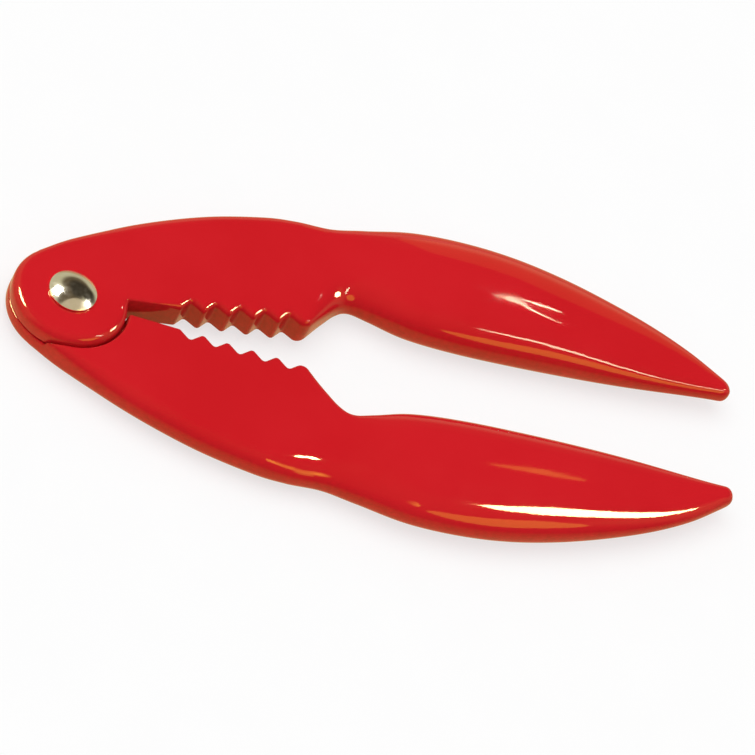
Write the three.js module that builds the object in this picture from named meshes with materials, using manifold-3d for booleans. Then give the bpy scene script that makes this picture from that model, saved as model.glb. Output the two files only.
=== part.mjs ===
// Hinged claw-shaped seafood cracker: two identical cast arms, one flipped over
// onto the other, turning on a single domed rivet.
// Millimetres, +Z up. The tool lies flat on z = 0 with its length along X, the
// rivet at -X and the claw tips at +X. The origin is under the middle of its box.
import * as THREE from "three";
import { mergeVertices } from "three/addons/utils/BufferGeometryUtils.js";
import Module from "manifold-3d";

// ---- driving dimensions -------------------------------------------------
// The arm is drawn in its own frame: rivet axis at the origin, bite line along X.
const openAngle = THREE.MathUtils.degToRad(5.6); // each arm, from the middle line
const hingeX = -69.8; // rivet axis from the middle of the tool
const plateThickness = 7; // jaw plate
const lugThickness = 4.2; // from the lap plane to the lug's outer face
const lugRadius = 13; // round hinge end
const shoulderRadius = 13.5; // pocket that clears the other arm's lug
const lapGap = 0.15; // from the lap plane to each lug's inner face
const edgeRound = 1.4; // rounding of the jaw plate's rim
const lugRound = 2; // rounding of the lug's rim

const rivetBore = 3.2;
const rivetShank = 3.15; // 0.05 running clearance all round
const rivetHead = 5.35;
const headHeight = 2.2;
const headRim = 0.5; // straight edge of the head below its dome
const tailRadius = 4.7; // end formed over on the back
const rivetGap = 0.1; // under the head and over the tail

const bellyHalf = 5.6; // half thickness of the handle's belly
const tipHalf = 2; // half thickness near the claw tip
const tipRadius = 2.3; // seen from above
const tipX = 151;

const biteY = 0.1; // tooth tips and the flat beside the hinge
const toothDepth = 2.3;
const toothPitch = 5.62;
const toothFlat = 0.7; // flat left on each tooth's tip
const firstRootX = 27.5;
const rootCount = 5;
const toothMouth = 1; // the cutter of a tooth gap starts this far outside the bite line
const rootRound = 0.8; // the gap's straight sides stop this far short of its root
const rootRise = 0.3; // control point of the root's curve, past the root
const biteEndX = 52.7; // the last tooth rounds off into the neck from here
const biteEndRound = 3.2;
const neckX = 60; // the plate runs on into the handle here
const neckLead = 1; // the last sampled point of an edge stays this far before the neck
const biteInset = 1; // the bite line starts this far inside the lug's rim

// ---- how finely round faces are divided ----------------------------------
const rimSteps = 3;
const lugSegments = 72;
const pocketSegments = 96;
const boreSegments = 64;
const handleRings = 40;
const handleSides = 32;
const domeSteps = 7;

// ---- outline of one arm -------------------------------------------------
// The back of the arm, from the lug over the jaw and waist to the claw tip.
const backEdge = new THREE.SplineCurve([
  new THREE.Vector2(-6.4, 11.4),
  new THREE.Vector2(2, 16.2),
  new THREE.Vector2(16, 22.4),
  new THREE.Vector2(32, 27.2),
  new THREE.Vector2(46, 29.4),
  new THREE.Vector2(54, 29.5),
  new THREE.Vector2(62, 28.7),
  new THREE.Vector2(70, 29.7),
  new THREE.Vector2(83, 31.4),
  new THREE.Vector2(99.5, 29.5),
  new THREE.Vector2(116, 24.4),
  new THREE.Vector2(132.5, 16.8),
  new THREE.Vector2(144, 9.5),
  new THREE.Vector2(152.6, 1.7),
]);

// The grip side, from the last tooth up into the neck and out to the claw tip.
const gripEdge = new THREE.SplineCurve([
  new THREE.Vector2(55.4, 1.1),
  new THREE.Vector2(59, 4.4),
  new THREE.Vector2(62.6, 7.6),
  new THREE.Vector2(65.8, 8.8),
  new THREE.Vector2(70.4, 7.3),
  new THREE.Vector2(79, 3.9),
  new THREE.Vector2(92, 1.5),
  new THREE.Vector2(110, -0.3),
  new THREE.Vector2(130, -1.8),
  new THREE.Vector2(151, -2.3),
]);

const edgeSamples = 400;
const gripStep = 12; // the jaw plate's outline keeps every twelfth sample of the grip edge
const backStep = 9;
const backPoints = backEdge.getPoints(edgeSamples);
const gripPoints = gripEdge.getPoints(edgeSamples);

// Height of an edge at one station along the arm.
function edgeY(points, x) {
  const next = points.findIndex((p) => p.x >= x);
  if (next <= 0) {
    return points.at(next).y;
  }
  const a = points[next - 1];
  const b = points[next];
  return THREE.MathUtils.mapLinear(x, a.x, b.x, a.y, b.y);
}

// Half width of the round tip at one station.
function tipWidth(x) {
  return Math.sqrt(Math.max(0, tipRadius ** 2 - (x - tipX) ** 2));
}

function backY(x) {
  return x > tipX ? tipWidth(x) : edgeY(backPoints, x);
}

function gripY(x) {
  return x > tipX ? -tipWidth(x) : edgeY(gripPoints, x);
}

// ---- solids -------------------------------------------------------------
const wasm = await Module();
wasm.setup();

function toSolid(geometry) {
  const bare = geometry.clone();
  bare.deleteAttribute("normal");
  bare.deleteAttribute("uv");
  const merged = mergeVertices(bare, 1e-4);
  const mesh = new wasm.Mesh({
    numProp: 3,
    vertProperties: merged.attributes.position.array,
    triVerts: new Uint32Array(merged.index.array),
  });
  return new wasm.Manifold(mesh);
}

function toGeometry(solid) {
  const mesh = solid.getMesh();
  const geometry = new THREE.BufferGeometry();
  geometry.setAttribute("position", new THREE.BufferAttribute(mesh.vertProperties, 3));
  geometry.setIndex(new THREE.BufferAttribute(mesh.triVerts, 1));
  return geometry;
}

// A profile of [radius, height] pairs turned about the rivet axis.
function turned(profile, segments) {
  const points = profile.map(([r, z]) => new THREE.Vector2(r, z));
  return new THREE.LatheGeometry(points, segments).rotateX(Math.PI / 2);
}

// Points of a quarter circle, as [radius, height] pairs.
function quarterRound(centreR, centreZ, size, from, steps) {
  const turn = (i) => from + (i / steps) * (Math.PI / 2);
  const point = (i) => [centreR + size * Math.cos(turn(i)), centreZ + size * Math.sin(turn(i))];
  return Array.from({ length: steps + 1 }, (_, i) => point(i));
}

// ---- one arm ------------------------------------------------------------
// Flat jaw plate with a rounded rim, from the lug to the neck.
function jawPlate() {
  const shape = new THREE.Shape();
  shape.moveTo(0, 0);
  shape.lineTo(lugRadius - biteInset, biteY);
  shape.absarc(biteEndX, biteY + biteEndRound, biteEndRound, -Math.PI / 2, -Math.PI / 4, false);
  const kept = (p, i, step) => i % step === 0 && p.x < neckX - neckLead;
  const grip = gripPoints.filter((p, i) => i > 0 && kept(p, i, gripStep));
  grip.forEach((p) => shape.lineTo(p.x, p.y));
  shape.lineTo(neckX, gripY(neckX));
  shape.lineTo(neckX, backY(neckX));
  const back = backPoints.filter((p, i) => kept(p, i, backStep)).reverse();
  back.forEach((p) => shape.lineTo(p.x, p.y));
  const plate = new THREE.ExtrudeGeometry(shape, {
    depth: plateThickness - 2 * edgeRound,
    bevelThickness: edgeRound,
    bevelSize: edgeRound,
    bevelOffset: -edgeRound,
    bevelSegments: rimSteps,
    curveSegments: 4,
  });
  return plate.translate(0, 0, lugThickness - plateThickness + edgeRound);
}

// Round lug, half the thickness of the joint.
function lug() {
  const rim = quarterRound(lugRadius - lugRound, lugThickness - lugRound, lugRound, 0, 5);
  return turned([[0, lapGap], [lugRadius, lapGap], ...rim, [0, lugThickness]], lugSegments);
}

// One rounded gap between two teeth, cut right through the plate.
function toothGap(rootX) {
  const half = (toothPitch - toothFlat) / 2;
  const slope = half / toothDepth;
  const mouthY = biteY - toothMouth;
  const mouthHalf = half + toothMouth * slope;
  const rootY = biteY + toothDepth;
  const shape = new THREE.Shape();
  shape.moveTo(rootX - mouthHalf, mouthY);
  shape.lineTo(rootX + mouthHalf, mouthY);
  shape.lineTo(rootX + rootRound * slope, rootY - rootRound);
  shape.quadraticCurveTo(rootX, rootY + rootRise, rootX - rootRound * slope, rootY - rootRound);
  const depth = 3 * plateThickness;
  const cutter = new THREE.ExtrudeGeometry(shape, { depth, bevelEnabled: false, curveSegments: 5 });
  return cutter.translate(0, 0, -depth / 2);
}

// Crowned claw handle: a sphere drawn out along the arm, its rings following
// the two edges, with flat faces at the neck and an oval section further out.
const handleStart = 54.5; // buried in the jaw plate
const handleEnd = tipX + tipRadius;
const startLength = 2; // length over which its buried end swells to full size
const buriedInset = 1.2; // how far its buried start keeps inside the plate's rim
const crownStart = 58; // the section turns from square to oval between these stations
const crownEnd = 84;
const taperStart = 104; // the belly thins towards the tip between these
const taperEnd = 156;
const squarePower = 0.3; // powers of the superellipse section
const ovalPower = 0.8;

// Signed power of a sine or cosine, with 0 for a value that is only rounding noise.
function bulge(value, power) {
  return Math.abs(value) < 1e-9 ? 0 : Math.sign(value) * Math.abs(value) ** power;
}

function handle() {
  const geometry = new THREE.SphereGeometry(1, handleSides, handleRings).rotateZ(-Math.PI / 2);
  const position = geometry.attributes.position;
  const p = new THREE.Vector3();
  for (let i = 0; i < position.count; i += 1) {
    p.fromBufferAttribute(position, i);
    const x = THREE.MathUtils.mapLinear(p.x, -1, 1, handleStart, handleEnd);
    const ring = Math.max(1e-6, Math.hypot(p.y, p.z));
    const across = p.y / ring;
    const upward = p.z / ring;
    const crowned = THREE.MathUtils.smoothstep(x, crownStart, crownEnd);
    const power = THREE.MathUtils.lerp(squarePower, ovalPower, crowned);
    const taper = THREE.MathUtils.smoothstep(x, taperStart, taperEnd);
    const belly = THREE.MathUtils.lerp(bellyHalf, tipHalf, taper);
    const top = THREE.MathUtils.lerp(lugThickness, belly, crowned);
    const bottom = THREE.MathUtils.lerp(lugThickness - plateThickness, -belly, crowned);
    const blunt = x > tipX ? tipWidth(x) / tipRadius : 1;
    const start = Math.min(1, Math.sqrt(Math.max(0, x - handleStart) / startLength));
    const shrink = blunt * start;
    const middleZ = (top + bottom) / 2;
    const halfZ = ((top - bottom) / 2) * shrink;
    const inset = buriedInset * (1 - THREE.MathUtils.smoothstep(x, handleStart, neckX));
    const low = gripY(x) + inset;
    const high = backY(x) - inset;
    const halfY = ((high - low) / 2) * (x > tipX ? 1 : start);
    const y = (low + high) / 2 + halfY * bulge(across, power);
    const z = middleZ + halfZ * bulge(upward, power);
    position.setXYZ(i, x, y, z);
  }
  return geometry;
}

function armSolid() {
  const below = new THREE.CylinderGeometry(
    shoulderRadius,
    shoulderRadius,
    plateThickness,
    pocketSegments,
  );
  const pocket = below.rotateX(Math.PI / 2).translate(0, 0, lapGap - plateThickness / 2);
  const bore = new THREE.CylinderGeometry(rivetBore, rivetBore, 4 * lugThickness, boreSegments);
  let arm = toSolid(jawPlate()).add(toSolid(handle())).subtract(toSolid(pocket));
  arm = arm.add(toSolid(lug())).subtract(toSolid(bore.rotateX(Math.PI / 2)));
  for (let i = 0; i < rootCount; i += 1) {
    arm = arm.subtract(toSolid(toothGap(firstRootX + i * toothPitch)));
  }
  return arm;
}

// ---- rivet --------------------------------------------------------------
// Domed head, plain shank through both lugs and a low tail formed on the back.
function rivet() {
  const seat = lugThickness + rivetGap;
  const dome = headHeight - headRim;
  const domeRadius = (rivetHead ** 2 + dome ** 2) / (2 * dome);
  const domePoints = Array.from({ length: domeSteps + 1 }, (_, i) => {
    const r = rivetHead * (1 - i / domeSteps);
    return [r, seat + headHeight - domeRadius + Math.sqrt(domeRadius ** 2 - r ** 2)];
  });
  const tailRound = bellyHalf - seat;
  const tail = quarterRound(tailRadius - tailRound, -seat, tailRound, -Math.PI / 2, 4);
  const shank = [[rivetShank, -seat], [rivetShank, seat], [rivetHead, seat]];
  return turned([[0, -bellyHalf], ...tail, ...shank, ...domePoints], boreSegments);
}

// ---- assembly -----------------------------------------------------------
const enamelUpper = new THREE.MeshStandardMaterial({ color: 0xcf2122, roughness: 0.12, metalness: 0 });
const enamelLower = new THREE.MeshStandardMaterial({ color: 0xcf2122, roughness: 0.12, metalness: 0 });
const nickel = new THREE.MeshStandardMaterial({ color: 0xb9b49c, roughness: 0.15, metalness: 1 });

const armGeometry = toGeometry(armSolid());

const upperArm = new THREE.Mesh(armGeometry.clone().rotateZ(openAngle), enamelUpper);
upperArm.name = "arm_upper";

// The lower arm is the same casting turned over about its own length.
const lowerArm = new THREE.Mesh(armGeometry.clone().rotateX(Math.PI).rotateZ(-openAngle), enamelLower);
lowerArm.name = "arm_lower";

const hingeRivet = new THREE.Mesh(rivet(), nickel);
hingeRivet.name = "hinge_rivet";

const group = new THREE.Group();
group.name = "cracker";
group.add(upperArm, lowerArm, hingeRivet);
group.position.set(hingeX, 0, bellyHalf);

export default group;
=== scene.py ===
"""Looks for the lobster cracker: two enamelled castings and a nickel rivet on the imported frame.

Sizes in millimetres are in one arm's own frame, with the rivet axis at the origin,
the bite line along X and the lap plane between the two lugs at z = 0.
"""

import math

import bmesh
import bpy
import numpy as np
from mathutils import Matrix, Vector
from mathutils.geometry import delaunay_2d_cdt


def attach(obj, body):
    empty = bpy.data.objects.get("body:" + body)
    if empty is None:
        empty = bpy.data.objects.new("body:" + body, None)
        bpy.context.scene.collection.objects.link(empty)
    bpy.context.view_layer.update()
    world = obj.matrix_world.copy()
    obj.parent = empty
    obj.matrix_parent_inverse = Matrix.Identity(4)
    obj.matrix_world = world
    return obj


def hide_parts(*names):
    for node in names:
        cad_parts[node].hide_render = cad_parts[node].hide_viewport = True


MM = 0.001

# ---- where the arms sit in the row frame ----
OPEN_ANGLE = math.radians(5.6)
HINGE_X = -69.8

# ---- casting sizes ----
PLATE_THICKNESS = 7.0
LUG_THICKNESS = 4.2
LUG_RADIUS = 12.99
SHOULDER_RADIUS = 13.5
SHOULDER_WALL = 0.03  # how far the wall of the lap's pocket runs out over its depth
LAP_GAP = 0.15
LAP_RIM = 0.3
RIVET_BORE = 3.2

TIP_X = 151.0
TIP_RADIUS = 2.28
TIP_SWEEP = math.radians(42)  # where the tip's round runs into the back
TIP_HALF = 2.0

BITE_Y = 0.0
TOOTH_DEPTH = 2.2
TOOTH_PITCH = 5.62
TOOTH_FLAT = 0.7
FIRST_ROOT_X = 27.5
ROOT_COUNT = 5
ROOT_ROUND = 0.85
TOOTH_ROUND = 0.8
LAST_TOOTH_ROUND = 2.1
BITE_END_X = 53.3
BITE_END_ROUND = 2.4

# ---- places along the arm where its section changes ----
BACK_RIM_START = -6.0
BACK_RIM_END = 16.0
TEETH_RIM_START = 20.0
TEETH_RIM_END = 25.0
WAIST_START = 46.0
WAIST_END = 58.0
NECK_START = 66.0
NECK_END = 70.0
CROWN_START = 58.0
CROWN_END = 84.0
TAPER_START = 104.0
TAPER_END = 156.0

# ---- handle crown: a long oval section, fuller than an ellipse ----
BELLY_HALF = 5.6
CREST = 0.42  # where the crest runs, as a share of the width from the grip side
GRIP_FULLNESS = (2.7, 2.5)
BACK_FULLNESS = (2.6, 2.4)

# ---- widths of the rounded rims; all but the neck's are at most DEEPEST_ROUND deep ----
BACK_ROUND = 3.4
WAIST_ROUND = 6.5
LUG_ROUND = 2.0
NOTCH_RIM = 0.35
TOOTH_RIM = 1.4
NECK_ROUND = 8.0
NECK_DEPTH = 4.8
TIP_ROUND = 1.4
UNDER_ROUND = 0.5
NECK_UNDER = 1.6
DEEPEST_ROUND = 3.1
RIM_DARK_WIDTH = 0.6  # how far in from the outline the enamel is drawn darker red in patches

# ---- rivet sizes ----
HEAD_RADIUS = 5.35
HEAD_HEIGHT = 2.2
HEAD_RIM = 0.5
HEAD_EDGE = 0.15
SHANK_RADIUS = 3.15
TAIL_RADIUS = 4.7
TAIL_FLAT_CUT = 0.4
RIVET_GAP = 0.1

# ---- how finely the meshes are made ----
TEETH_STEP = 0.28
SMOOTH_STEP = 0.6
JOIN_GAP = 0.8  # left between the tip's round and the back, so that they join smoothly
TIP_POINTS = 22
LUG_POINTS = 120
BORE_POINTS = 48
SHOULDER_POINTS = 260
SHOULDER_OFFSETS = (-0.02, 0.04, 0.1, 0.2, 0.4, 0.7)
FINE_RIM = 2.0  # rims are finely meshed up to this width
RING_SHARES = (0.02, 0.08, 0.18, 0.31, 0.47, 0.68, 1.0, 1.5)
FILL_STEP = 0.85
FILL_ROWS = 0.87  # row spacing as a share of the step, for nearly equal-sided triangles
RING_CLEARANCE = 0.35
SHOULDER_CLEARANCE = 0.8
BORE_CLEARANCE = 0.5
THINNEST = 1e-4  # the two surfaces never touch or cross
RIM_BLEND = 9  # outline points over which one rim width runs into the next
RIVET_TURNS = 160
DOME_STEPS = 26

# ---- table ----
TABLE_DROP = 0.05
TABLE_GLOW = 0.7  # share of the table's shading that the camera sees as plain white

# ---- places that the outline's two long curves pass through ----
BACK_KNOTS = [
    (-6.4, 11.4), (2, 16.2), (16, 22.4), (32, 27.2), (46, 29.4), (54, 29.5), (62, 28.7),
    (70, 29.7), (83, 31.38), (99.5, 29.5), (116, 24.4), (132.5, 16.8), (144, 9.5), (152.6, 1.7),
]
GRIP_KNOTS = [
    (55.5, 1.2), (59.1, 4.7), (62.7, 7.8), (65.8, 8.8), (70.4, 7.2), (79, 3.8), (92, 1.4),
    (110, -0.3), (130, -1.8), (151, -2.3),
]


# ---- curves ---------------------------------------------------------------
def catmull_rom(knots, per_span):
    """Points on a smooth curve through the knots."""
    k = np.array(knots, float)
    k = np.vstack([2 * k[0] - k[1], k, 2 * k[-1] - k[-2]])
    t = np.linspace(0, 1, per_span, endpoint=False)[:, None]
    spans = []
    for a, b, c, d in zip(k[:-3], k[1:-2], k[2:-1], k[3:]):
        linear = (c - a) * t
        square = (2 * a - 5 * b + 4 * c - d) * t**2
        cube = (3 * b - a - 3 * c + d) * t**3
        spans.append(b + 0.5 * (linear + square + cube))
    return np.vstack(spans + [k[-2:-1]])


def arc(cx, cy, radius, start, end, count):
    """Points along an arc between two angles."""
    a = np.linspace(start, end, count)
    return np.stack([cx + radius * np.cos(a), cy + radius * np.sin(a)], 1)


def corner(before, point, after, radius, count=5):
    """A rounded corner: points of a curve tangent to both sides of a vertex."""
    p, a, b = (np.array(v, float) for v in (point, before, after))
    ua = (a - p) / np.linalg.norm(a - p)
    ub = (b - p) / np.linalg.norm(b - p)
    reach = radius / max(1e-6, math.tan(math.acos(float(np.clip(ua @ ub, -1, 1))) / 2))
    t = np.linspace(0, 1, count)[:, None]
    return (p + ua * reach) * (1 - t) ** 2 + 2 * p * t * (1 - t) + (p + ub * reach) * t**2


def respaced(points, step):
    """The same open line with evenly spaced points."""
    length = np.concatenate([[0], np.cumsum(np.linalg.norm(np.diff(points, axis=0), axis=1))])
    count = max(2, int(round(length[-1] / step)) + 1)
    s = np.linspace(0, length[-1], count)
    return np.stack([np.interp(s, length, points[:, i]) for i in (0, 1)], 1)


BACK_LINE = catmull_rom(BACK_KNOTS, 60)
GRIP_LINE = catmull_rom(GRIP_KNOTS, 60)


def smoothstep(x, low, high):
    """0 up to low, 1 from high on, and a smooth rise between them."""
    t = np.clip((x - low) / (high - low), 0, 1)
    return t * t * (3 - 2 * t)


def back_y(x):
    """Outline's height above the bite line on the back, round the tip included."""
    tip = np.sqrt(np.maximum(0, TIP_RADIUS**2 - (x - TIP_X) ** 2))
    edge = np.interp(x, BACK_LINE[:, 0], BACK_LINE[:, 1], right=0)
    return np.where(x > TIP_X, np.maximum(tip, edge), edge)


def grip_y(x):
    """The same on the grip side."""
    tip = -np.sqrt(np.maximum(0, TIP_RADIUS**2 - (x - TIP_X) ** 2))
    return np.where(x > TIP_X, tip, np.interp(x, GRIP_LINE[:, 0], GRIP_LINE[:, 1]))


# ---- plan outline of one arm ----------------------------------------------
def bite_line():
    """From the notch beside the lug, along the flat and the teeth, to the neck."""
    notch_x = math.sqrt(LUG_RADIUS**2 - BITE_Y**2)
    root_y = BITE_Y + TOOTH_DEPTH
    half = (TOOTH_PITCH - TOOTH_FLAT) / 2
    vertices = [(notch_x, BITE_Y)]
    rounds = [0]
    for i in range(ROOT_COUNT):
        x = FIRST_ROOT_X + i * TOOTH_PITCH
        vertices += [(x - half, BITE_Y), (x, root_y), (x + half, BITE_Y)]
        rounds += [TOOTH_ROUND, ROOT_ROUND, TOOTH_ROUND]
    rounds[-1] = LAST_TOOTH_ROUND
    vertices.append((BITE_END_X, BITE_Y))
    rounds.append(0)
    pieces = [np.array(vertices[:1], float)]
    for a, p, b, r in zip(vertices[:-2], vertices[1:-1], vertices[2:], rounds[1:-1]):
        pieces.append(corner(a, p, b, r))
    last = arc(BITE_END_X, BITE_Y + BITE_END_ROUND, BITE_END_ROUND, -math.pi / 2, -math.pi / 4, 9)
    return np.vstack(pieces + [last])


def bite_rims(x):
    """Narrow beside the lug, wider at the teeth, and wide underneath past them."""
    above = NOTCH_RIM + (TOOTH_RIM - NOTCH_RIM) * smoothstep(x, TEETH_RIM_START, TEETH_RIM_END)
    past_bite = smoothstep(x, BITE_END_X - 1, BITE_END_X + 3)
    below = UNDER_ROUND + (NECK_UNDER - UNDER_ROUND) * past_bite
    return above, below, above


def grip_rims(x):
    """Wide and deep at the neck, then small along the handle, where the crown takes over."""
    opened = smoothstep(x, BITE_END_X, NECK_START)
    closed = smoothstep(x, NECK_END, CROWN_END)
    above = TOOTH_RIM + (NECK_ROUND - TOOTH_RIM) * opened + (TIP_ROUND - NECK_ROUND) * closed
    depth = TOOTH_RIM + (NECK_DEPTH - TOOTH_RIM) * opened + (TIP_ROUND - NECK_DEPTH) * closed
    return above, NECK_UNDER, depth


def back_rims(x):
    """Widening from the lug on, and wider still underneath from the waist on."""
    above = LUG_ROUND + (BACK_ROUND - LUG_ROUND) * smoothstep(x, BACK_RIM_START, BACK_RIM_END)
    below = above + (WAIST_ROUND - BACK_ROUND) * smoothstep(x, WAIST_START, WAIST_END)
    return above, below, np.minimum(above, DEEPEST_ROUND)


def blended_round(rims):
    """Rims averaged with their neighbours along the closed outline."""
    kernel = np.hanning(RIM_BLEND + 2)[1:-1]
    kernel /= kernel.sum()
    wrapped = np.vstack([rims[-RIM_BLEND:], rims, rims[:RIM_BLEND]])
    smooth = [np.convolve(column, kernel, "same")[RIM_BLEND:-RIM_BLEND] for column in wrapped.T]
    return np.stack(smooth, 1)


def outline():
    """Closed outline, counter-clockwise, and each point's rim: width above and below, depth above."""
    bite = respaced(bite_line(), TEETH_STEP)
    grip = respaced(GRIP_LINE[GRIP_LINE[:, 0] < TIP_X], SMOOTH_STEP)[1:]
    tip = arc(TIP_X, 0, TIP_RADIUS, -math.pi / 2, TIP_SWEEP, TIP_POINTS)[1:]
    back = BACK_LINE[BACK_LINE[:, 0] < tip[-1, 0] - JOIN_GAP][::-1]
    back = respaced(np.vstack([tip[-1:], back]), SMOOTH_STEP)[1:]
    start = math.atan2(back[-1, 1], back[-1, 0])
    end = 2 * math.pi + math.asin(BITE_Y / LUG_RADIUS)
    lug = arc(0, 0, LUG_RADIUS, start, end, LUG_POINTS)[1:-1]
    runs = [
        (bite, bite_rims(bite[:, 0])),
        (grip, grip_rims(grip[:, 0])),
        (tip, (TIP_ROUND, TIP_ROUND, TIP_ROUND)),
        (back, back_rims(back[:, 0])),
        (lug, (LUG_ROUND, UNDER_ROUND, LUG_ROUND)),
    ]
    columns = [np.broadcast_arrays(*rim, line[:, 0])[:3] for line, rim in runs]
    rims = np.vstack([np.stack(column, 1) for column in columns])
    return np.vstack([line for line, _ in runs]), blended_round(rims)


def nearest(points, line, values):
    """Distance from each point to a closed line, and the line's values there."""
    a = line
    b = np.roll(line, -1, axis=0)
    va, vb = values, np.roll(values, -1, axis=0)
    best = np.full(len(points), 1e9)
    found = np.zeros((len(points), values.shape[1]))
    d = b - a
    length2 = np.maximum((d**2).sum(1), 1e-12)
    batch = 2000
    for start in range(0, len(points), batch):
        p = points[start : start + batch]
        t = np.clip(((p[:, None] - a) * d).sum(2) / length2, 0, 1)
        gap = np.linalg.norm(p[:, None] - a - t[..., None] * d, axis=2)
        i = gap.argmin(1)
        row = np.arange(len(p))
        best[start : start + batch] = gap[row, i]
        found[start : start + batch] = va[i] + (vb[i] - va[i]) * t[row, i][:, None]
    return best, found


def inside(points, line):
    """Whether each point lies within a closed line."""
    x, y = points[:, 0][:, None], points[:, 1][:, None]
    ax, ay = line[:, 0], line[:, 1]
    bx, by = np.roll(ax, -1), np.roll(ay, -1)
    crosses = (ay > y) != (by > y)
    at = ax + (y - ay) / np.where(by == ay, 1e-12, by - ay) * (bx - ax)
    return (crosses & (x < at)).sum(1) % 2 == 1


# ---- height of the casting over its plan ----------------------------------
def rim_drop(distance, width, depth):
    """How far a rounded rim falls below the flat, this far in from its edge."""
    share = np.clip(1 - distance / width, 0, 1)
    return depth * (1 - np.sqrt(1 - share**2))


def crown(x, y):
    """Handle surface above its middle plane: a long oval, steeper on the grip side."""
    low, high = grip_y(x), back_y(x)
    across = np.clip((y - low) / np.maximum(high - low, 1e-6), 0, 1)
    to_grip = np.clip(1 - across / CREST, 0, 1)
    to_back = np.clip((across - CREST) / (1 - CREST), 0, 1)
    grip_side = (1 - to_grip ** GRIP_FULLNESS[0]) ** (1 / GRIP_FULLNESS[1])
    back_side = (1 - to_back ** BACK_FULLNESS[0]) ** (1 / BACK_FULLNESS[1])
    profile = np.where(across < CREST, grip_side, back_side)
    taper = smoothstep(x, TAPER_START, TAPER_END)
    blunt = np.sqrt(np.clip(1 - np.clip((x - TIP_X) / TIP_RADIUS, 0, 1) ** 2, 0, 1))
    return (BELLY_HALF + (TIP_HALF - BELLY_HALF) * taper) * blunt * profile


def heights(points, line, rims):
    """Upper and lower surface of the casting at plan points."""
    x, y = points.T
    distance, rim = nearest(points, line, rims)
    above, below, depth = rim.T
    plate_top = LUG_THICKNESS - rim_drop(distance, above, depth)
    underside = LUG_THICKNESS - PLATE_THICKNESS
    plate_low = underside + rim_drop(distance, below, np.minimum(below, DEEPEST_ROUND))
    handle = crown(x, y)
    crowned = smoothstep(x, CROWN_START, CROWN_END)
    top = plate_top + (handle - plate_top) * crowned
    low = plate_low + (-handle - plate_low) * crowned
    radius = np.hypot(x, y)
    shoulder = rim_drop(radius - SHOULDER_RADIUS - SHOULDER_WALL, UNDER_ROUND, UNDER_ROUND)
    lap = LAP_GAP + rim_drop(distance, LAP_RIM, LAP_RIM)
    low = np.where(radius > SHOULDER_RADIUS, low + shoulder, lap)
    return top, np.minimum(low, top - THINNEST), distance


# ---- one casting as a mesh ------------------------------------------------
def plan_points(line, rims):
    """Rings just inside the outline, where the rim turns, then an even filling."""
    tangent = np.roll(line, -1, axis=0) - np.roll(line, 1, axis=0)
    tangent /= np.linalg.norm(tangent, axis=1)[:, None]
    inward = np.stack([-tangent[:, 1], tangent[:, 0]], 1)
    rings = []
    fine = np.minimum(rims[:, 0], FINE_RIM)
    for share in RING_SHARES:
        offset = share * fine
        ring = line + inward * offset[:, None]
        distance, _ = nearest(ring, line, rims)
        rings.append(ring[(distance > 0.96 * offset) & inside(ring, line)])
    rows = np.arange(-14, 32, FILL_STEP * FILL_ROWS)
    xs, ys = np.meshgrid(np.arange(-14, 154, FILL_STEP), rows)
    xs[1::2] += FILL_STEP / 2
    fill = np.stack([xs.ravel(), ys.ravel()], 1)
    fill = fill[inside(fill, line)]
    distance, rim = nearest(fill, line, rims)
    last_ring = RING_SHARES[-1] * np.minimum(rim[:, 0], FINE_RIM)
    fill = fill[distance > last_ring + RING_CLEARANCE]
    radius = np.hypot(*fill.T)
    off_shoulder = np.abs(radius - SHOULDER_RADIUS) > SHOULDER_CLEARANCE
    off_bore = radius > RIVET_BORE + BORE_CLEARANCE
    return np.vstack(rings + [fill[off_shoulder & off_bore]])


def circle_inside(radius, count, line, rims, clearance=0.12):
    """Points of a circle about the rivet's axis that lie well within the outline."""
    a = np.linspace(0, 2 * math.pi, count, endpoint=False)
    ring = radius * np.stack([np.cos(a), np.sin(a)], 1)
    distance, _ = nearest(ring, line, rims)
    return ring[inside(ring, line) & (distance > clearance)]


def flat_triangles(line, rims):
    """Triangles that fill the outline around the bore, wound counter-clockwise."""
    bore = circle_inside(RIVET_BORE, BORE_POINTS, line, rims)
    radii = [SHOULDER_RADIUS + offset for offset in SHOULDER_OFFSETS]
    steps = [circle_inside(radius, SHOULDER_POINTS, line, rims) for radius in radii]
    free = np.vstack([plan_points(line, rims)] + steps)
    points = [Vector(p) for p in np.vstack([line, bore, free])]
    edges = [(i, (i + 1) % len(line)) for i in range(len(line))]
    edges += [(len(line) + i, len(line) + (i + 1) % BORE_POINTS) for i in range(BORE_POINTS)]
    verts, _, faces, _, _, _ = delaunay_2d_cdt(points, edges, [], 0, 1e-4, True)
    plan = np.array([v[:] for v in verts])
    tri = np.array(faces)
    middle = plan[tri].mean(1)
    tri = tri[inside(middle, line) & (np.hypot(*middle.T) > RIVET_BORE)]
    a, b, c = plan[tri[:, 0]], plan[tri[:, 1]], plan[tri[:, 2]]
    area = (b - a)[:, 0] * (c - a)[:, 1] - (b - a)[:, 1] * (c - a)[:, 0]
    tri[area < 0] = tri[area < 0][:, ::-1]
    return plan, tri


def open_edges(tri):
    """Edges that only one triangle has."""
    edge_use = {}
    for t in tri:
        for i in range(3):
            edge_use[(t[i], t[(i + 1) % 3])] = True
    return [(i, j) for i, j in edge_use if (j, i) not in edge_use]


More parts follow.
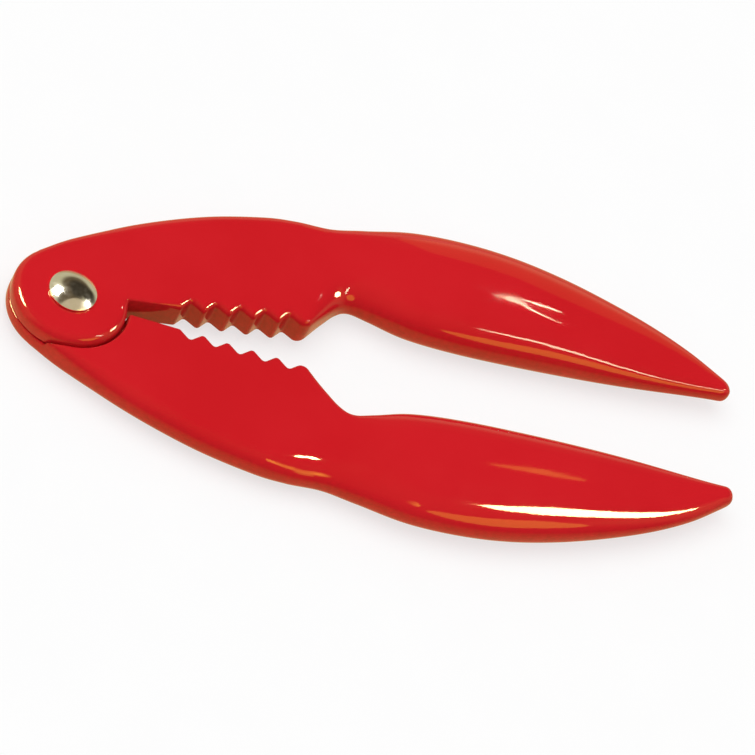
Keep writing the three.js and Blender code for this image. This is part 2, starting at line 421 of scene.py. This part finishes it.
def casting_mesh(name):
    """One arm in its own frame, in millimetres: two surfaces joined round outline and bore."""
    line, rims = outline()
    plan, tri = flat_triangles(line, rims)
    top, low, distance = heights(plan, line, rims)
    count = len(plan)
    verts = np.vstack([np.column_stack([plan, top]), np.column_stack([plan, low])])
    walls = [(i, i + count, j + count, j) for i, j in open_edges(tri)]
    faces = [tuple(t) for t in tri] + [tuple(t[::-1] + count) for t in tri] + walls
    mesh = bpy.data.meshes.new(name)
    mesh.from_pydata(verts.tolist(), [], [tuple(int(i) for i in f) for f in faces])
    near_rim = mesh.attributes.new("rim", "FLOAT", "POINT")
    near_rim.data.foreach_set("value", np.tile(np.exp(-distance / RIM_DARK_WIDTH), 2).astype(np.float32))
    return mesh


# ---- rivet ------------------------------------------------------------------
def rivet_profile():
    """Half section from the tail's centre up to the top of the dome."""
    seat = LUG_THICKNESS + RIVET_GAP
    tail = BELLY_HALF - seat
    points = [(0, -BELLY_HALF), (TAIL_RADIUS - tail - TAIL_FLAT_CUT, -BELLY_HALF)]
    points += [tuple(p) for p in arc(TAIL_RADIUS - tail, -seat, tail, -math.pi / 2, 0, 12)]
    points += [(SHANK_RADIUS, -seat), (SHANK_RADIUS, seat), (HEAD_RADIUS - HEAD_EDGE, seat)]
    edge = arc(HEAD_RADIUS - HEAD_EDGE, seat + HEAD_EDGE, HEAD_EDGE, -math.pi / 2, 0, 5)
    points += [tuple(p) for p in edge]
    dome = HEAD_HEIGHT - HEAD_RIM
    radius = (HEAD_RADIUS**2 + dome**2) / (2 * dome)
    centre = seat + HEAD_HEIGHT - radius
    rim = math.asin(HEAD_RADIUS / radius)
    for a in np.linspace(rim, 0, DOME_STEPS):
        points.append((radius * math.sin(a), centre + radius * math.cos(a)))
    return points


def rivet_mesh(name):
    """The profile turned about the rivet's axis, with a fan of faces at each end."""
    profile = rivet_profile()
    turns = RIVET_TURNS
    verts, faces = [], []
    for r, z in profile[1:-1]:
        for k in range(turns):
            a = 2 * math.pi * k / turns
            verts.append((r * math.cos(a), r * math.sin(a), z))
    rings = len(profile) - 2
    for i in range(rings - 1):
        for k in range(turns):
            n = (k + 1) % turns
            faces.append((i * turns + k, i * turns + n, (i + 1) * turns + n, (i + 1) * turns + k))
    verts += [(0, 0, profile[0][1]), (0, 0, profile[-1][1])]
    last_ring = (rings - 1) * turns
    for k in range(turns):
        n = (k + 1) % turns
        faces.append((len(verts) - 2, n, k))
        faces.append((len(verts) - 1, last_ring + k, last_ring + n))
    mesh = bpy.data.meshes.new(name)
    mesh.from_pydata(verts, [], faces)
    return mesh


# ---- pieces -----------------------------------------------------------------
def tidy(obj, angle=math.radians(38)):
    """Drops unused and doubled points, then smooths all but the real edges."""
    bm = bmesh.new()
    bm.from_mesh(obj.data)
    loose = [v for v in bm.verts if not v.link_faces]
    bmesh.ops.delete(bm, geom=loose, context="VERTS")
    bmesh.ops.remove_doubles(bm, verts=bm.verts, dist=2e-6)
    bmesh.ops.recalc_face_normals(bm, faces=bm.faces)
    for f in bm.faces:
        f.smooth = True
    for e in bm.edges:
        e.smooth = e.calc_face_angle(0) < angle
    bm.to_mesh(obj.data)
    bm.free()


def piece(mesh, placed, body, node, material):
    """A mesh put in its place, riding its body and standing for its CAD node."""
    mesh.transform(placed)
    obj = bpy.data.objects.new(mesh.name, mesh)
    bpy.context.scene.collection.objects.link(obj)
    tidy(obj)
    obj.data.materials.append(material)
    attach(obj, body)
    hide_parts(node)


# ---- materials --------------------------------------------------------------
class Nodes:
    """A new node material and short ways to add and join its nodes."""

    def __init__(self, name):
        self.material = bpy.data.materials.new(name)
        self.material.use_nodes = True
        self.tree = self.material.node_tree
        self.shader = self.tree.nodes["Principled BSDF"]

    def add(self, kind, **settings):
        node = self.tree.nodes.new(kind)
        for key, value in settings.items():
            if key in node.inputs:
                node.inputs[key].default_value = value
            else:
                setattr(node, key, value)
        return node

    def join(self, source, target):
        self.tree.links.new(source, target)

    def noise(self, scale, detail):
        """Noise fixed to the piece, with about this many clouds to a metre."""
        place = self.add("ShaderNodeTexCoord")
        node = self.add("ShaderNodeTexNoise")
        node.inputs["Scale"].default_value = scale
        node.inputs["Detail"].default_value = detail
        self.join(place.outputs["Object"], node.inputs["Vector"])
        return node

    def ramp(self, source, stops):
        """Colours at places from 0 to 1."""
        node = self.add("ShaderNodeValToRGB")
        ramp = node.color_ramp
        while len(ramp.elements) < len(stops):
            ramp.elements.new(0.5)
        for element, (at, colour) in zip(ramp.elements, stops):
            element.position = at
            element.color = (*colour, 1)
        self.join(source, node.inputs["Fac"])
        return node

    def remap(self, source, low, high, from_low=0.3, from_high=0.7):
        """The source's usual span stretched to run from low to high."""
        node = self.add("ShaderNodeMapRange")
        node.inputs["From Min"].default_value = from_low
        node.inputs["From Max"].default_value = from_high
        node.inputs["To Min"].default_value = low
        node.inputs["To Max"].default_value = high
        self.join(source, node.inputs["Value"])
        return node

    def bump(self, height, strength, distance):
        node = self.add("ShaderNodeBump")
        node.inputs["Strength"].default_value = strength
        node.inputs["Distance"].default_value = distance
        self.join(height, node.inputs["Height"])
        self.join(node.outputs["Normal"], self.shader.inputs["Normal"])


def red_enamel():
    """Glossy baked enamel: even red with faint clouding, darker red in patches along the rims and side walls,
    slight orange peel.
    """
    m = Nodes("red_enamel")
    darker, lighter, rim_dark_red = (0.61, 0.0105, 0.0165), (0.64, 0.0125, 0.0195), (0.40, 0.012, 0.012)
    cloud = m.noise(35, 3)
    base = m.ramp(cloud.outputs["Fac"], [(0.35, darker), (0.65, lighter)])
    # darker red mixed in random patches near the outline: over the side walls and a fraction of a millimetre
    # in from each rim
    rim = m.add("ShaderNodeAttribute", attribute_name="rim")
    rim_patches = m.noise(900, 4)
    mask = m.add("ShaderNodeMath", operation="MULTIPLY")
    m.join(rim.outputs["Fac"], mask.inputs[0])
    m.join(m.remap(rim_patches.outputs["Fac"], 0.0, 0.5).outputs["Result"], mask.inputs[1])
    mix = m.add("ShaderNodeMix", data_type="RGBA")
    m.join(mask.outputs[0], mix.inputs["Factor"])
    m.join(base.outputs["Color"], mix.inputs["A"])
    mix.inputs["B"].default_value = (*rim_dark_red, 1)
    m.join(mix.outputs["Result"], m.shader.inputs["Base Color"])
    smear = m.noise(140, 5)
    m.join(m.remap(smear.outputs["Fac"], 0.03, 0.07).outputs["Result"], m.shader.inputs["Roughness"])
    m.shader.inputs["IOR"].default_value = 1.5
    m.shader.inputs["Specular Tint"].default_value = (1.0, 0.9, 0.35, 1)
    peel = m.noise(420, 2)
    dust = m.noise(2600, 2)
    total = m.add("ShaderNodeMath", operation="MULTIPLY_ADD")
    m.join(dust.outputs["Fac"], total.inputs[0])
    total.inputs[1].default_value = 0.12
    m.join(peel.outputs["Fac"], total.inputs[2])
    m.bump(total.outputs[0], 0.05, 0.05 * MM)
    return m.material


def nickel_plate():
    """Bright, slightly warm nickel plate with fine tumbling marks."""
    m = Nodes("nickel_plate")
    darker, lighter = (0.88, 0.81, 0.62), (0.96, 0.90, 0.74)
    cloud = m.noise(500, 3)
    base = m.ramp(cloud.outputs["Fac"], [(0.3, darker), (0.7, lighter)])
    m.join(base.outputs["Color"], m.shader.inputs["Base Color"])
    m.shader.inputs["Metallic"].default_value = 1.0
    smear = m.noise(900, 5)
    m.join(m.remap(smear.outputs["Fac"], 0.08, 0.2).outputs["Result"], m.shader.inputs["Roughness"])
    place = m.add("ShaderNodeTexCoord")
    stretch = m.add("ShaderNodeMapping")
    stretch.inputs["Scale"].default_value = (1, 14, 1)
    stretch.inputs["Rotation"].default_value = (0, 0, 0.6)
    m.join(place.outputs["Object"], stretch.inputs["Vector"])
    marks = m.add("ShaderNodeTexNoise")
    marks.inputs["Scale"].default_value = 700
    marks.inputs["Detail"].default_value = 5
    m.join(stretch.outputs["Vector"], marks.inputs["Vector"])
    m.bump(marks.outputs["Fac"], 0.1, 0.03 * MM)
    return m.material


def pale_floor():
    """White light table, clear from below, with a painted reflection: an amber glow that only the enamel's
    gloss sees.
    """
    m = Nodes("pale_floor")
    grain = m.noise(60, 4)
    base = m.ramp(grain.outputs["Fac"], [(0.3, (0.92, 0.92, 0.92)), (0.7, (0.94, 0.94, 0.94))])
    m.join(base.outputs["Color"], m.shader.inputs["Base Color"])
    m.shader.inputs["Roughness"].default_value = 0.6
    m.shader.inputs["Specular IOR Level"].default_value = 0.1
    path = m.add("ShaderNodeLightPath")

    def glowing(under, strength, colour, factor):
        """A shader with a glow of its own mixed in by a factor."""
        glow = m.add("ShaderNodeEmission")
        glow.inputs["Color"].default_value = (*colour, 1)
        if isinstance(strength, float):
            glow.inputs["Strength"].default_value = strength
        else:
            m.join(strength, glow.inputs["Strength"])
        mix = m.add("ShaderNodeMixShader")
        m.join(factor, mix.inputs[0])
        m.join(under, mix.inputs[1])
        m.join(glow.outputs[0], mix.inputs[2])
        return mix.outputs[0]

    seen = m.add("ShaderNodeMath", operation="MULTIPLY")
    m.join(path.outputs["Is Camera Ray"], seen.inputs[0])
    seen.inputs[1].default_value = TABLE_GLOW
    lit = glowing(m.shader.outputs[0], 1.0, (1, 1, 1), seen.outputs[0])

    # painted reflection: an amber glow on the table, brighter for steeper glossy rays, seen only as
    # reflections in the castings
    facing = m.add("ShaderNodeNewGeometry")
    split = m.add("ShaderNodeSeparateXYZ")
    m.join(facing.outputs["Incoming"], split.inputs[0])
    steep = m.remap(split.outputs["Z"], 0.4, 0.8, 0.03, 0.6)
    painted_reflection = glowing(lit, steep.outputs["Result"], (1.0, 0.75, 0.38), path.outputs["Is Glossy Ray"])

    clear = m.add("ShaderNodeBsdfTransparent")
    sides = m.add("ShaderNodeMixShader")
    m.join(facing.outputs["Backfacing"], sides.inputs[0])
    m.join(painted_reflection, sides.inputs[1])
    m.join(clear.outputs[0], sides.inputs[2])
    m.join(sides.outputs[0], m.tree.nodes["Material Output"].inputs["Surface"])
    return m.material


# ---- stage --------------------------------------------------------------------
def floor(material):
    """Wide plain table, a hair under the tool so that no faces lie in one plane."""
    mesh = bpy.data.meshes.new("floor")
    half = 3000 * MM
    level = -TABLE_DROP * MM
    corners = [(-half, -half, level), (half, -half, level), (half, half, level), (-half, half, level)]
    mesh.from_pydata(corners, [], [(0, 1, 2, 3)])
    obj = bpy.data.objects.new("floor", mesh)
    bpy.context.scene.collection.objects.link(obj)
    obj.data.materials.append(material)


# ---- lamps ----------------------------------------------------------------------
AMBER = (1, 0.72, 0.2)
COOL = (0.55, 0.72, 1)  # reflects as pale pink in the enamel, whose own tint is yellow
COOLER = (0.4, 0.6, 1)


def receivers(*names):
    """A set of pieces for a lamp that reflects in no others."""
    group = bpy.data.collections.new("lit_" + names[0])
    for name in names:
        group.objects.link(bpy.data.objects[name])
    return group


def soft_box(name, place, facing, size, radiance, colour=(1, 1, 1), spin=0.0, only=None, spread=math.pi):
    """A lamp seen only in reflections, at a place and facing a point, in millimetres."""
    width, height = size[0] * MM, size[1] * MM
    data = bpy.data.lights.new(name, "AREA")
    data.shape = "ELLIPSE"
    data.size, data.size_y = width, height
    data.energy = radiance * math.pi * width * height * math.pi / 4
    data.color = colour
    data.spread = spread
    obj = bpy.data.objects.new(name, data)
    bpy.context.scene.collection.objects.link(obj)
    away = (Vector(place) - Vector(facing)).normalized()
    turn = away.to_track_quat("Z", "Y").to_matrix() @ Matrix.Rotation(spin, 3, "Z")
    obj.matrix_world = Matrix.Translation(Vector(place) * MM) @ turn.to_4x4()
    obj.visible_diffuse = False
    obj.visible_camera = False
    if only:
        obj.light_linking.receiver_collection = only


def key_light(strength, direction, softness):
    """Broad light from above that shades the castings without showing in the gloss."""
    data = bpy.data.lights.new("key", "SUN")
    data.energy = strength
    data.angle = softness
    obj = bpy.data.objects.new("key", data)
    bpy.context.scene.collection.objects.link(obj)
    obj.rotation_euler = Vector(direction).to_track_quat("Z", "Y").to_euler()
    obj.visible_glossy = False


def studio():
    """Neutral room for soft shading; its reflection is a dim beige room, dark above and in front."""
    world = bpy.data.worlds.new("studio")
    bpy.context.scene.world = world
    world.use_nodes = True
    tree = world.node_tree
    background = tree.nodes["Background"]
    place = tree.nodes.new("ShaderNodeTexCoord")

    def lobe(direction, full, none):
        """1 within an angle of a direction, falling smoothly to 0 at another."""
        dot = tree.nodes.new("ShaderNodeVectorMath")
        dot.operation = "DOT_PRODUCT"
        tree.links.new(place.outputs["Generated"], dot.inputs[0])
        dot.inputs[1].default_value = Vector(direction).normalized()
        span = tree.nodes.new("ShaderNodeMapRange")
        span.interpolation_type = "SMOOTHSTEP"
        span.inputs["From Min"].default_value = math.cos(math.radians(none))
        span.inputs["From Max"].default_value = math.cos(math.radians(full))
        tree.links.new(dot.outputs["Value"], span.inputs["Value"])
        return span.outputs["Result"]

    def blended(colour, factor, other):
        """One colour turned into another by a factor; the first is fixed or comes from a node."""
        mix = tree.nodes.new("ShaderNodeMix")
        mix.data_type = "RGBA"
        tree.links.new(factor, mix.inputs["Factor"])
        if isinstance(colour, tuple):
            mix.inputs["A"].default_value = colour
        else:
            tree.links.new(colour, mix.inputs["A"])
        mix.inputs["B"].default_value = other
        return mix.outputs["Result"]

    room = (0.52, 0.50, 0.38, 1)
    dim = (0.11, 0.085, 0.055, 1)
    dark = (0.04, 0.033, 0.025, 1)
    front = (0.06, 0.05, 0.04, 1)
    colour = room
    for direction, full, none, shade in (
        ((0.1, -1, 0.1), 48, 78, front),
        ((0.05, -0.1, 1.0), 26, 40, dim),
        ((0.27, 0.65, 0.71), 24, 36, dim),
        ((0.32, 0.60, 0.73), 13, 25, dark),
        ((0.69, 0.45, 0.56), 13, 25, dark),
        ((0.30, 0.33, 0.88), 9, 18, dark),
    ):
        colour = blended(colour, lobe(direction, full, none), shade)
    path = tree.nodes.new("ShaderNodeLightPath")
    final = tree.nodes.new("ShaderNodeMix")
    final.data_type = "RGBA"
    tree.links.new(path.outputs["Is Glossy Ray"], final.inputs["Factor"])
    final.inputs["A"].default_value = (0.5, 0.5, 0.5, 1)
    tree.links.new(colour, final.inputs["B"])
    tree.links.new(final.outputs["Result"], background.inputs["Color"])


def lights():
    """The room, one light for shading, and lamps that show only as highlights in the gloss."""
    studio()
    key_light(1.7, (-0.15, 0.1, 1), math.radians(70))
    castings = receivers("upper_casting", "lower_casting")
    soft_box("left_box", (-215, 72, 180), (-75, 0, 0), (110, 90), 60, only=castings)
    soft_box("amber_card", (150, -180, 215), (40, -15, 9), (190, 150), 3, AMBER)

    rivet_only = receivers("rivet")
    soft_box("rivet_card", (0, -150, 190), (-70, 0, 12), (520, 400), 0.42, (1, 0.9, 0.72), only=rivet_only)
    soft_box("rivet_left", (-180, 72, 185), (-70, 0, 12), (80, 80), 40, (0.96, 0.96, 1), only=rivet_only)
    soft_box("rivet_spark", (130, 8, 180), (-70, 0, 12), (40, 50), 60, only=rivet_only)

    upper_only = receivers("upper_casting")
    lean = math.radians(-28)
    soft_box("upper_box", (128, -25, 230), (19, -28, 26), (22, 112), 30, COOLER, lean, upper_only)
    for name, place, length, radiance, turned in (
        ("back_streak_a", (121, 192, 216), 44, 105, 94),
        ("back_streak_b", (122, 201, 207), 42, 75, 123),
    ):
        spin = math.radians(turned)
        soft_box(name, place, (33, 23, 11), (1.3, length), radiance, COOL, spin, upper_only)
    soft_box("back_card", (180, 368, 133), (50, 10, 9), (210, 230), 0.35, AMBER, only=upper_only)
    soft_box("tooth_box", (210, 44, 192), (-25, 8, 10), (60, 66), 60, only=upper_only)

    lower_only = receivers("lower_casting")
    soft_box("lower_box", (159, -7, 213), (50, -10, 9), (54, 142), 60, only=lower_only)
    soft_box("lower_glow", (128, 140, 213), (37, -23, 11), (7, 60), 2.5, AMBER, math.radians(117), lower_only)
    narrow = math.radians(24)
    soft_box("waist_box", (3.4, -6.2, 60), (-14, -30, 8), (5, 12), 2.2, only=lower_only, spread=narrow)
    soft_box("waist_glow", (6, -74, 94), (-14, -33, 7), (34, 36), 0.13, AMBER, only=lower_only, spread=narrow)


# ---- camera ---------------------------------------------------------------------
VIEW_AZIMUTH = math.radians(-22.4)
VIEW_ELEVATION = math.radians(48.1)
VIEW_ROLL = math.radians(29.1)
VIEW_AIM = Vector((-3.35, -12.37, 18.03)) * MM
VIEW_DISTANCE = 2.0322
VIEW_LENS = 450.5


def camera():
    """Long lens, looking down from beside the rivet end and rolled about its axis."""
    back = Vector((
        math.sin(VIEW_AZIMUTH) * math.cos(VIEW_ELEVATION),
        -math.cos(VIEW_AZIMUTH) * math.cos(VIEW_ELEVATION),
        math.sin(VIEW_ELEVATION),
    ))
    level = Vector((math.cos(VIEW_AZIMUTH), math.sin(VIEW_AZIMUTH), 0))
    upright = back.cross(level)
    right = math.cos(VIEW_ROLL) * level + math.sin(VIEW_ROLL) * upright
    up = back.cross(right)
    data = bpy.data.cameras.new("camera")
    data.lens = VIEW_LENS
    data.clip_end = 20
    obj = bpy.data.objects.new("camera", data)
    bpy.context.scene.collection.objects.link(obj)
    turn = Matrix((right, up, back)).transposed()
    obj.matrix_world = Matrix.Translation(VIEW_AIM + back * VIEW_DISTANCE) @ turn.to_4x4()
    bpy.context.scene.camera = obj


# ---- build ------------------------------------------------------------------------
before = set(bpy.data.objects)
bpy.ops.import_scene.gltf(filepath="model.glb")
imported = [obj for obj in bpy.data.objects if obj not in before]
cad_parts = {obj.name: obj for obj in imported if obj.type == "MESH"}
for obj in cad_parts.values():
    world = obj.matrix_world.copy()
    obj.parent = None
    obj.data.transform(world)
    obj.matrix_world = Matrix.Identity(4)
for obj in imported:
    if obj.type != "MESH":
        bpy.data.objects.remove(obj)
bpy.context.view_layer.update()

to_row = Matrix.Scale(MM, 4) @ Matrix.Translation((HINGE_X, 0, BELLY_HALF))
upper_place = to_row @ Matrix.Rotation(OPEN_ANGLE, 4, "Z")
lower_place = to_row @ Matrix.Rotation(-OPEN_ANGLE, 4, "Z") @ Matrix.Rotation(math.pi, 4, "X")

enamel = red_enamel()
piece(casting_mesh("upper_casting"), upper_place, "upper_arm", "arm_upper", enamel)
piece(casting_mesh("lower_casting"), lower_place, "lower_arm", "arm_lower", enamel)
piece(rivet_mesh("rivet"), to_row, "lower_arm", "hinge_rivet", nickel_plate())

floor(pale_floor())
lights()
camera()
bpy.context.scene.view_settings.view_transform = "Standard"
